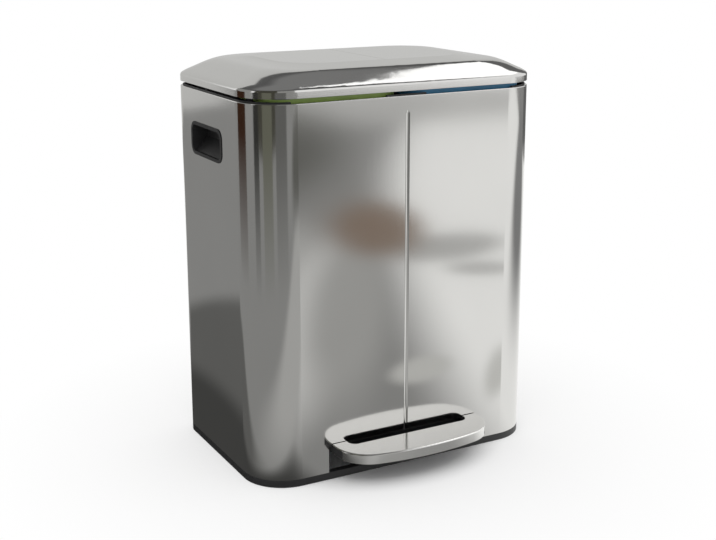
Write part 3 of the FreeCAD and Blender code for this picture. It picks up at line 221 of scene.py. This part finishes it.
FINISHES = {
    "shell_steel": steel("shell_finish", STEEL, 0.09, VERTICAL_GRAIN),
    "lid_steel": steel("lid_finish", STEEL, 0.09, LENGTHWISE_GRAIN),
    # The pedal's steel is a lighter copy of the shell's: painted light on the pedal. Its higher roughness
    # is its own finish.
    "pedal_steel": steel("pedal_finish_lightened", shade(STEEL, 1.24), 0.14, LENGTHWISE_GRAIN),
    "bracket_steel": steel("bracket_finish", (0.55, 0.55, 0.54), 0.38, LENGTHWISE_GRAIN),
    "pin_steel": steel("pin_finish", (0.6, 0.6, 0.6), 0.22, VERTICAL_GRAIN),
    "spring_steel": steel("clip_finish", (0.3, 0.3, 0.31), 0.35, LENGTHWISE_GRAIN),
    "screw_steel": steel("screw_finish", (0.5, 0.5, 0.49), 0.3, VERTICAL_GRAIN),
    "black_plastic": plastic("black_moulding", BLACK),
    # The grip's black is darker than the other black plastic: painted shade for the grip's hollow.
    "grip_plastic": plastic("grip_moulding_darkened", shade(BLACK, 0.7), roughness=0.55, wear=0.1),
    "liner_plastic": plastic("liner_moulding", shade(BLACK, 1.3)),
    "bucket_plastic": plastic("bucket_moulding", (0.05, 0.05, 0.052), roughness=0.5),
    # The green and blue mouldings carry that painted light.
    "green_plastic": plastic("green_moulding_lightened", LIGHTENED_GREEN, roughness=0.4, wear=0.12),
    "blue_plastic": plastic("blue_moulding_lightened", LIGHTENED_BLUE, roughness=0.4, wear=0.12),
    "pale_plastic": plastic("pale_moulding", (0.5, 0.5, 0.47), wear=0.1),
    "black_metal": plastic("painted_case", (0.03, 0.03, 0.033), roughness=0.3, grain=500),
    "rubber": rubber("foot_rubber", (0.03, 0.03, 0.031)),
}


def dress():
    """Gives every CAD node the finish of its slot."""
    for part in frame["record"]["subparts"]:
        piece = NODES[part["node"]]
        piece.data.materials.clear()
        piece.data.materials.append(FINISHES[part["material_slot"]])


# ---------------------------------------------------------------- Camera

# The camera that was fitted to the photograph, in pixels, radians and metres. AIM shows at AIM_PIXEL,
# across and down from the picture's top left corner.
FOCAL_PIXELS = 1223.26
SENSOR_WIDTH = 36.0
OPTICAL_CENTRE = (358.0, 232.0)
AZIMUTH = 0.4979
PITCH = 0.2414
ROLL = -0.0021
DISTANCE = 1.9429
AIM = MIDDLE + Vector((0, 0, 0.2824))
AIM_PIXEL = (357.65, 262.07)


def camera_axes():
    """The camera's right, up and forward directions."""
    ahead = Vector((math.sin(AZIMUTH), math.cos(AZIMUTH), 0))
    level = Vector((math.cos(AZIMUTH), -math.sin(AZIMUTH), 0))
    forward = ahead * math.cos(PITCH) - Vector((0, 0, math.sin(PITCH)))
    square = level.cross(forward)
    right = math.cos(ROLL) * level + math.sin(ROLL) * square
    up = math.cos(ROLL) * square - math.sin(ROLL) * level
    return right, up, forward


def set_camera():
    right, up, forward = camera_axes()
    scale = DISTANCE / FOCAL_PIXELS
    across, down = [(aim - centre) * scale for aim, centre in zip(AIM_PIXEL, OPTICAL_CENTRE)]
    place = AIM - forward * DISTANCE - right * across + up * down
    lens = bpy.data.cameras.new("camera")
    lens.sensor_width = SENSOR_WIDTH
    lens.lens = FOCAL_PIXELS / IMAGE_WIDTH * SENSOR_WIDTH
    lens.shift_y = (OPTICAL_CENTRE[1] - IMAGE_HEIGHT / 2) / IMAGE_WIDTH
    camera = bpy.data.objects.new("camera", lens)
    turn = Matrix((right, up, -forward)).transposed()
    camera.matrix_world = Matrix.Translation(place) @ turn.to_4x4()
    bpy.context.scene.collection.objects.link(camera)
    bpy.context.scene.camera = camera


# ---------------------------------------------------------------- Floor, backdrop and light

FLOOR_SIZE = 12.0
AMBIENT = 0.9

# The floor's paint, and how far from the shell's middle it starts to turn white, is half and all white.
FLOOR_PAINT = (0.97, 0.97, 0.97)
PAINT_ENDS = (0.19, 0.24, 0.6)

# The key lamp: its place, what it points at, its side in metres and its power in watts.
KEY = ((-1.2, -1.6, 2.6), (0, 0, 0.3), 1.8, 14)

# The stage that shows only in reflections, where it hides the white world and the painted floor. Its own
# floor lies just above the painted one, so that the two don't meet.
# The reflected floor's grey, and the ovals laid on it, are painted reflection, darker than the floor's
# white paint that the camera sees.
REFLECTED_FLOOR = (0.28, 0.28, 0.275)
FLOOR_GAP = 0.001
ROOM_HEIGHT = 3.4
CEILING = (0.11, 0.11, 0.11)
CEILING_GLOW = ((0, 0), (2.2, 2.2), 0, 0.4, (0.22, 0.22, 0.22))

# Soft ovals on the floor that the steel reflects, from the shell's middle in metres: middle, half length
# and half width, turn in degrees from +X towards +Y, the share of the oval that its soft edge takes, and
# colour. Places and tones were chosen after measuring in the photograph what its steel mirrors.
FLOOR_TONES = (
    ((2.20, -1.20), (4.5, 1.5), -60, 0.12, (0.97, 0.97, 0.96)),
    ((2.40, -0.20), (2.0, 1.1), 0, 0.5, (0.25, 0.25, 0.25)),
    ((2.10, -3.90), (1.7, 1.1), 0, 0.5, (0.52, 0.52, 0.51)),
    ((0.85, -3.00), (1.6, 0.62), -63, 0.5, (0.12, 0.12, 0.11)),
    ((0.02, -1.00), (1.10, 0.36), -60, 0.4, (0.45, 0.45, 0.44)),
    ((0.22, -0.90), (0.80, 0.10), -60, 0.6, (0.68, 0.68, 0.67)),
    ((0.31, -0.92), (0.85, 0.12), -60, 0.6, (0.40, 0.40, 0.39)),
    ((0.76, -1.24), (0.25, 0.15), -10, 0.5, (0.46, 0.46, 0.45)),
    ((0.72, -1.52), (0.42, 0.17), -62, 0.5, (0.24, 0.18, 0.14)),
    ((0.73, -1.02), (0.12, 0.08), 20, 0.5, (0.55, 0.55, 0.54)),
    ((0.235, -0.49), (0.11, 0.06), -30, 0.5, (0.58, 0.58, 0.56)),
    ((0.36, -0.42), (0.20, 0.03), -50, 0.6, (0.62, 0.62, 0.60)),
    # The last two ovals, dark and to the shell's left, are painted shadow of the bin on the floor.
    ((-0.40, 0.33), (0.55, 0.21), 110, 0.25, (0.13, 0.13, 0.126)),
    ((-0.25, 0.10), (0.10, 0.45), 10, 0.4, (0.06, 0.06, 0.058)),
)

# Upright panels: azimuth in degrees from the rear by way of the right, distance from the shell's middle,
# width, height of the foot, height of the top, and colour.
WALLS = {
    "rear_wall": (17, 3.0, 5.6, 0, 3.4, (0.60, 0.60, 0.59)),
    "right_rear_wall": (66, 2.9, 1.6, 0, 3.4, (0.14, 0.14, 0.14)),
    "window_top": (106, 1.6, 2.16, 1.7, 3.3, (1.5, 1.5, 1.5)),
    "window": (106, 1.6, 2.16, 0.42, 1.7, (0.95, 0.95, 0.95)),
    "side_window": (150, 2.2, 0.95, 0.32, 0.95, (1.0, 1.0, 1.0)),
    "front_wall": (190, 4.2, 4.0, 0, 3.4, (0.30, 0.30, 0.29)),
    "left_front_wall": (-125, 2.9, 3.0, 0, 3.4, (0.06, 0.058, 0.045)),
    "left_wall": (-62, 3.4, 3.4, 0, 3.4, (0.30, 0.30, 0.29)),
}

# Low dark panels to the left, painted reflection of dark patches, listed the same way, and how far up from
# its foot each fades in.
FADE = 0.35
LOW_PANELS = {
    "brown_chest": (-62, 1.2, 0.60, 0, 0.62, (0.040, 0.018, 0.010)),
    "dark_chest": (-103, 1.2, 0.24, 0, 0.62, (0.035, 0.035, 0.032)),
    "olive_chest": (-127, 1.2, 0.42, 0, 0.62, (0.14, 0.142, 0.11)),
    "grey_chest": (-156, 1.2, 0.5, 0, 0.62, (0.13, 0.13, 0.125)),
}


def set_world():
    """A backdrop that is white where it is seen and lights the object evenly."""
    world = bpy.data.worlds.new("studio")
    world.use_nodes = True
    bpy.context.scene.world = world
    tree = world.node_tree
    tree.nodes.clear()
    path = tree.nodes.new("ShaderNodeLightPath")
    either = tree.nodes.new("ShaderNodeMath")
    either.operation = "MAXIMUM"
    tree.links.new(path.outputs["Is Camera Ray"], either.inputs[0])
    tree.links.new(path.outputs["Is Glossy Ray"], either.inputs[1])
    seen = tree.nodes.new("ShaderNodeMath")
    seen.operation = "MAXIMUM"
    tree.links.new(either.outputs["Value"], seen.inputs[0])
    tree.links.new(path.outputs["Is Transmission Ray"], seen.inputs[1])
    mix = tree.nodes.new("ShaderNodeMixShader")
    tree.links.new(seen.outputs["Value"], mix.inputs["Fac"])
    for index, strength in ((1, AMBIENT), (2, 1.0)):
        sky = tree.nodes.new("ShaderNodeBackground")
        sky.inputs["Color"].default_value = (*WHITE, 1)
        sky.inputs["Strength"].default_value = strength
        tree.links.new(sky.outputs[0], mix.inputs[index])
    output = tree.nodes.new("ShaderNodeOutputWorld")
    tree.links.new(mix.outputs[0], output.inputs["Surface"])


def plane(name, centre, right, up, width, height, material):
    """A flat panel with its middle at centre, spread along two directions."""
    right, up = Vector(right).normalized(), Vector(up).normalized()
    across, along = right * width / 2, up * height / 2
    corners = [-across - along, across - along, across + along, along - across]
    mesh = bpy.data.meshes.new(name)
    mesh.from_pydata(corners, [], [(0, 1, 2, 3)])
    panel = bpy.data.objects.new(name, mesh)
    panel.location = centre
    bpy.context.scene.collection.objects.link(panel)
    mesh.materials.append(material)
    return panel


def reflector(*size):
    """A glowing panel that shows only in reflections: no diffuse light from it, and no shadow."""
    panel = plane(*size)
    panel.visible_camera = False
    panel.visible_diffuse = False
    panel.visible_transmission = False
    panel.visible_volume_scatter = False
    panel.visible_shadow = False
    return panel


def glow(look, colour):
    """A light of one colour, or of a colour socket."""
    light = look.node("ShaderNodeEmission")
    if isinstance(colour, tuple):
        light.inputs["Color"].default_value = (*colour, 1)
    else:
        look.join(colour, light.inputs["Color"])
    return light


def soft_oval(look, under, middle, radii, turn, softness, colour):
    """Lays a soft oval of one colour over another, in the panel's own metres."""
    place = look.node("ShaderNodeMapping", vector_type="TEXTURE")
    place.inputs["Location"].default_value = (*middle, 0)
    place.inputs["Rotation"].default_value = (0, 0, math.radians(turn))
    place.inputs["Scale"].default_value = (*radii, 1)
    look.join(look.node("ShaderNodeTexCoord").outputs["Object"], place.inputs["Vector"])
    ball = look.node("ShaderNodeTexGradient", gradient_type="SPHERICAL")
    look.join(place.outputs["Vector"], ball.inputs["Vector"])
    share = look.node("ShaderNodeMapRange", interpolation_type="SMOOTHSTEP")
    share.inputs["From Max"].default_value = softness
    look.join(ball.outputs["Fac"], share.inputs["Value"])
    return look.colours(share.outputs["Result"], under, colour)


def floor_finish():
    """White paint that takes the bin's shadow and runs out into the white backdrop."""
    look = Shader("floor_paint")
    paint = look.node("ShaderNodeBsdfDiffuse")
    paint.inputs["Color"].default_value = (*FLOOR_PAINT, 1)
    reach = look.node("ShaderNodeVectorMath", operation="LENGTH")
    look.join(look.node("ShaderNodeTexCoord").outputs["Object"], reach.inputs[0])
    start, half, end = PAINT_ENDS
    away = look.math("ADD", look.remap(reach.outputs["Value"], 0, 0.5, start, half),
                     look.remap(reach.outputs["Value"], 0, 0.5, half, end))
    seen = look.math("MULTIPLY", away, look.node("ShaderNodeLightPath").outputs["Is Camera Ray"])
    mix = look.node("ShaderNodeMixShader")
    look.join(seen, mix.inputs["Fac"])
    look.join(paint.outputs[0], mix.inputs[1])
    look.join(glow(look, WHITE).outputs[0], mix.inputs[2])
    return look.surface(mix)


def reflected_floor():
    """The floor as the steel mirrors it, as painted reflection: one tone with its soft ovals laid on in
    order, two of them painted shadow of the bin.
    """
    look = Shader("reflected_floor")
    tone = REFLECTED_FLOOR
    for oval in FLOOR_TONES:
        tone = soft_oval(look, tone, *oval)
    return look.surface(glow(look, tone))


def reflected_ceiling():
    """A dim ceiling that is a little lighter over the bin."""
    look = Shader("reflected_ceiling")
    return look.surface(glow(look, soft_oval(look, CEILING, *CEILING_GLOW)))


def lamp(name, place, aim, size, power):
    """A square soft lamp that shows in no reflection."""
    light = bpy.data.lights.new(name, "AREA")
    light.shape = "SQUARE"
    light.size = size
    light.energy = power
    made = bpy.data.objects.new(name, light)
    made.location = place
    made.rotation_euler = (Vector(aim) - Vector(place)).to_track_quat("-Z", "Y").to_euler()
    made.visible_glossy = False
    bpy.context.scene.collection.objects.link(made)


def wall_finish(name, height, colour):
    """A plain glow, which on the low dark panels fades into the floor's tone over FADE metres from the
    foot.
    """
    look = Shader(name)
    if name in LOW_PANELS:
        place = look.node("ShaderNodeSeparateXYZ")
        look.join(look.node("ShaderNodeTexCoord").outputs["Object"], place.inputs[0])
        share = look.remap(place.outputs["Z"], 0, 1, -height / 2, FADE - height / 2)
        colour = look.colours(share, REFLECTED_FLOOR, colour)
    return look.surface(glow(look, colour))


def set_reflections():
    """The plain room that the steel reflects: a floor, a ceiling, walls, windows and low dark panels."""
    east, north, up = Vector((1, 0, 0)), Vector((0, 1, 0)), Vector((0, 0, 1))
    reflector("floor_reflector", MIDDLE + up * FLOOR_GAP, east, north, FLOOR_SIZE, FLOOR_SIZE,
              reflected_floor())
    reflector("ceiling_reflector", MIDDLE + up * ROOM_HEIGHT, east, north, FLOOR_SIZE, FLOOR_SIZE,
              reflected_ceiling())
    for name, (azimuth, distance, width, foot, top, colour) in (WALLS | LOW_PANELS).items():
        angle = math.radians(azimuth)
        out = Vector((math.sin(angle), math.cos(angle), 0))
        centre = MIDDLE + out * distance + up * (foot + top) / 2
        height = top - foot
        reflector(name, centre, out.cross(up), up, width, height, wall_finish(name, height, colour))


def set_stage():
    plane("floor", MIDDLE, (1, 0, 0), (0, 1, 0), FLOOR_SIZE, FLOOR_SIZE, floor_finish())
    set_world()
    set_reflections()
    lamp("key", *KEY)


def set_view():
    bpy.context.scene.view_settings.view_transform = "Standard"


dress()
set_camera()
set_stage()
set_view()
